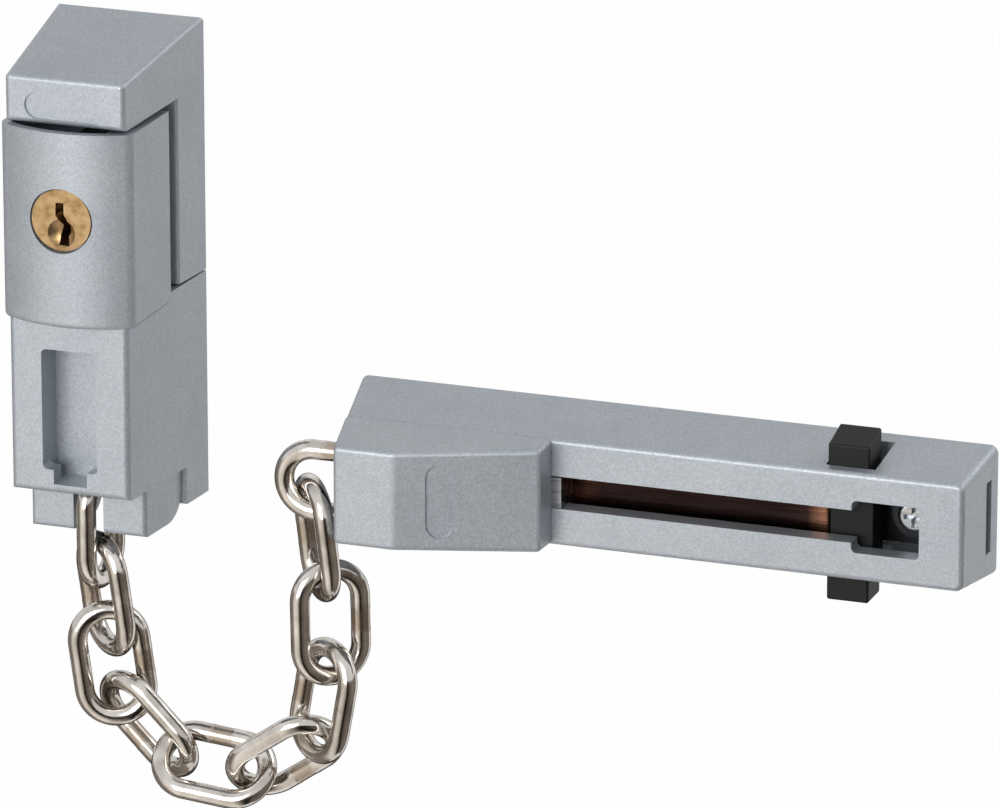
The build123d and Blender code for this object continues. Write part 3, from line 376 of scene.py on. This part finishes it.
def wire_link(name, node):
    """A round section carried along a link's path, which is two straight sides joined by half circles.
    The path is measured from the weld: the bend angle grows only along the half circles, and their centre
    moves only along the straights. Points lie closer together at the weld. There the radius dips by the
    neck, as a flat-topped bell, and rises by a narrow bell at each end of the band, most on the outside."""
    bow = INNER_WIDTH / 2 + WIRE_R
    half = INNER_LENGTH / 2 + WIRE_R - bow
    arc = math.pi * bow
    around_link = 4 * half + 2 * arc
    turn = np.arange(ALONG) / ALONG
    run = around_link * (turn - WELD_CROWDING * np.sin(2 * math.pi * turn) / (2 * math.pi))
    bend = (np.clip(run - half, 0, arc) + np.clip(run - 3 * half - arc, 0, arc)) / bow
    centre = np.clip(run, 0, half) - np.clip(run - half - arc, 0, 2 * half)
    centre = centre + np.clip(run - 3 * half - 2 * arc, 0, half)
    from_weld = np.minimum(run, around_link - run)
    band = np.exp(-(from_weld / WELD_HALF) ** BAND_POWER)
    ridge = np.exp(-((from_weld - WELD_HALF) / RIDGE_WIDTH) ** 2)
    ring = 2 * math.pi * np.arange(AROUND) / AROUND
    outside = np.cos(ring / 2) ** 2
    radius = (WIRE_R - WELD_NECK * band)[:, None] + WELD_RIDGE * ridge[:, None] * outside
    out = bow + radius * np.cos(ring)
    local_length = centre[:, None] + out * np.sin(bend)[:, None]
    local_width = out * np.cos(bend)[:, None]
    local_height = radius * np.sin(ring)
    middle, length, width = link_axes(node)
    height = np.cross(length, width)
    points = middle + local_length[..., None] * length + local_width[..., None] * width
    points = points + local_height[..., None] * height
    along, around = np.meshgrid(np.arange(ALONG), np.arange(AROUND), indexing="ij")
    next_along, next_around = (along + 1) % ALONG, (around + 1) % AROUND
    faces = np.stack([along * AROUND + around, along * AROUND + next_around,
                      next_along * AROUND + next_around, next_along * AROUND + around], axis=-1)
    link = mesh_object(name, points.reshape(-1, 3), faces.reshape(-1, 4), nickel)
    link.data.attributes.new("weld", "FLOAT", "POINT").data.foreach_set("value", np.repeat(band, AROUND))
    link.data.shade_smooth()
    return link


for number in range(1, LINKS + 1):
    link = wire_link(f"welded_link_{number}", nodes[f"link_{number}"])
    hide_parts(f"link_{number}")
    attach(link, "head" if number == LINKS else f"link_{number}")


# Slide head: the lacquered wedge that the last link ends in, pinned across.
# Its plated T stud runs in the rail's slot.
dress(lacquer, "chain_head")
dress(zinc, "head_stud", "head_pin")


# Studio: a pale floor well under the part, a white surround and two soft lamps.
# The camera sees floor and surround as white, but they light the part only weakly, so its forms keep shade.
def stage_sheet(name, points, rows, material):
    """A sheet of the studio from a grid of points, rows of equal length."""
    columns = len(points) // rows
    row, column = np.meshgrid(np.arange(rows - 1), np.arange(columns - 1), indexing="ij")
    corner = row * columns + column
    faces = np.stack([corner, corner + 1, corner + columns + 1, corner + columns], axis=-1).reshape(-1, 4)
    sheet = mesh_object(name, points, faces, material)
    return sheet


FLOOR = -0.32
FLOOR_SPAN = 6.0
FLOOR_GLOW = 0.985
pale, shader = start("pale_floor")
shader.inputs["Base Color"].default_value = linear("#F6F6F6")
shader.inputs["Roughness"].default_value = 0.8
seen = add(pale, "ShaderNodeLightPath")
white = add(pale, "ShaderNodeEmission", {"Color": (1, 1, 1, 1), "Strength": 1.0})
mirror = add(pale, "ShaderNodeMath", {"operation": "MAXIMUM"}, _0=seen.outputs["Is Glossy Ray"],
             _1=seen.outputs["Is Transmission Ray"])
either = add(pale, "ShaderNodeMath", {"operation": "MAXIMUM"}, _0=seen.outputs["Is Camera Ray"],
             _1=mirror.outputs["Value"])
cover = add(pale, "ShaderNodeMath", {"operation": "MULTIPLY", 1: FLOOR_GLOW}, _0=either.outputs["Value"])
both = add(pale, "ShaderNodeMixShader", Fac=cover.outputs["Value"], _1=shader.outputs["BSDF"],
           _2=white.outputs["Emission"])
pale.node_tree.links.new(both.outputs["Shader"], pale.node_tree.nodes["Material Output"].inputs["Surface"])
side_x, side_y = np.meshgrid([-FLOOR_SPAN, FLOOR_SPAN], [-FLOOR_SPAN, FLOOR_SPAN])
stage_sheet("floor", np.stack([side_x.ravel(), side_y.ravel(), np.full(4, FLOOR)], axis=1), 2, pale)

# Two cards lie round the part, before and behind it, and show only in the lacquer and the bright metal.
# Without them the plated wire would mirror nothing but white, and its edges would be lost against the floor.
# Each is flat near the part, then rises with the square of the distance. Its tone changes with the bearing:
# the front one is light on the left, has a narrow dark band in the middle and is brown-grey on the right.
TARGET = (0.0750, 0.0, -0.0388)
CARD_NEAR, CARD_FLAT, CARD_FAR = 0.06, 1.2, 2.4
CARD_ROWS, CARD_COLUMNS = 24, 96
CARD_LIFT = 0.01
CARD_GLOW = 1.2


def card(name, bearing_from, bearing_to, rise, tones):
    """A card in polar form about the part: bearings in degrees from the front, towards the rail's end."""
    grey = start(name)[0]
    across = add(grey, "ShaderNodeAttribute", {"attribute_name": "across"})
    tone = add(grey, "ShaderNodeValToRGB", stops=tones, Fac=across.outputs["Fac"])
    glow = add(grey, "ShaderNodeEmission", {"Strength": CARD_GLOW}, Color=tone.outputs["Color"])
    surface = grey.node_tree.nodes["Material Output"].inputs["Surface"]
    grey.node_tree.links.new(glow.outputs["Emission"], surface)
    share = np.linspace(0, 1, CARD_COLUMNS)
    turned = np.radians(bearing_from + (bearing_to - bearing_from) * share)
    reach, bearing = np.meshgrid(np.linspace(CARD_NEAR, CARD_FAR, CARD_ROWS), turned, indexing="ij")
    height = rise * np.clip((reach - CARD_FLAT) / (CARD_FAR - CARD_FLAT), 0, 1) ** 2
    points = np.stack([TARGET[0] + reach * np.sin(bearing), -reach * np.cos(bearing),
                       FLOOR + CARD_LIFT + height], axis=-1)
    sheet = stage_sheet(name, points.reshape(-1, 3), CARD_ROWS, grey)
    place = sheet.data.attributes.new("across", "FLOAT", "POINT")
    place.data.foreach_set("value", np.tile(share, CARD_ROWS))
    sheet.visible_camera = False
    sheet.visible_diffuse = False
    sheet.visible_shadow = False


card("front_card", bearing_from=-100, bearing_to=128, rise=0.45,
     tones=[(0.0, "#6E665F"), (0.15, "#8A8178"), (0.25, "#F6F1EA"), (0.38, "#E4DDD4"), (0.46, "#9A9188"),
            (0.50, "#161311"), (0.55, "#1A1614"), (0.61, "#5C554F"), (0.79, "#7E756D"), (1.0, "#6A625B")])
card("back_card", bearing_from=166, bearing_to=256, rise=0.30,
     tones=[(0.0, "#6A625B"), (0.5, "#2E2925"), (1.0, "#5A524B")])

# The surround is white to the camera and a little greyer in the lacquer and the plating.
MIRRORED_SHARE = 0.86
SURROUND_FILL = 0.28
world = bpy.data.worlds.new("surround")
bpy.context.scene.world = world
world.use_nodes = True
surround = world.node_tree.nodes["Background"]
surround.inputs["Color"].default_value = (1, 1, 1, 1)
seen = add(world, "ShaderNodeLightPath")
mirror = add(world, "ShaderNodeMath", {"operation": "MAXIMUM"}, _0=seen.outputs["Is Glossy Ray"],
             _1=seen.outputs["Is Transmission Ray"])
dimmed = add(world, "ShaderNodeMath", {"operation": "MULTIPLY", 1: MIRRORED_SHARE},
             _0=mirror.outputs["Value"])
either = add(world, "ShaderNodeMath", {"operation": "MAXIMUM"}, _0=seen.outputs["Is Camera Ray"],
             _1=dimmed.outputs["Value"])
strength = add(world, "ShaderNodeMapRange", {"To Min": SURROUND_FILL, "To Max": 1.0},
               Value=either.outputs["Value"])
world.node_tree.links.new(strength.outputs["Result"], surround.inputs["Strength"])


def lamp(name, azimuth, elevation, distance, size, watts):
    """A square soft white lamp at a bearing from the front and a height, turned to the part's middle."""
    data = bpy.data.lights.new(name, "AREA")
    data.size = size
    data.energy = watts
    lamp_object = bpy.data.objects.new(name, data)
    turn, tilt = math.radians(azimuth), math.radians(elevation)
    away = Vector((math.sin(turn) * math.cos(tilt), -math.cos(turn) * math.cos(tilt), math.sin(tilt)))
    lamp_object.location = Vector(TARGET) + away * distance
    lamp_object.rotation_euler = (-away).to_track_quat("-Z", "Y").to_euler()
    bpy.context.scene.collection.objects.link(lamp_object)


lamp("key", azimuth=-9, elevation=12, distance=1.8, size=1.1, watts=18.3)
lamp("rear", azimuth=130, elevation=35, distance=0.6, size=0.3, watts=0.5)


# Camera: a long lens at the photograph's angle, 20 degrees to the right of the front and 18 above level.
# One millimetre at the part's middle is 5.25 pixels of a picture 1000 wide.
AZIMUTH = math.radians(20.0)
ELEVATION = math.radians(18.0)
FOCAL_PIXELS = 8500.0
PIXELS_PER_METRE = 5250.0
PICTURE_WIDTH = 1000
SENSOR_WIDTH = 36.0
back = Vector((math.sin(AZIMUTH) * math.cos(ELEVATION), -math.cos(AZIMUTH) * math.cos(ELEVATION),
               math.sin(ELEVATION)))
lens = bpy.data.cameras.new("camera")
lens.sensor_width = SENSOR_WIDTH
lens.lens = SENSOR_WIDTH * FOCAL_PIXELS / PICTURE_WIDTH
lens.clip_end = 50.0
camera = bpy.data.objects.new("camera", lens)
camera.location = Vector(TARGET) + back * (FOCAL_PIXELS / PIXELS_PER_METRE)
camera.rotation_euler = (-back).to_track_quat("-Z", "Y").to_euler()
bpy.context.scene.collection.objects.link(camera)
bpy.context.scene.camera = camera
bpy.context.scene.view_settings.view_transform = "Standard"
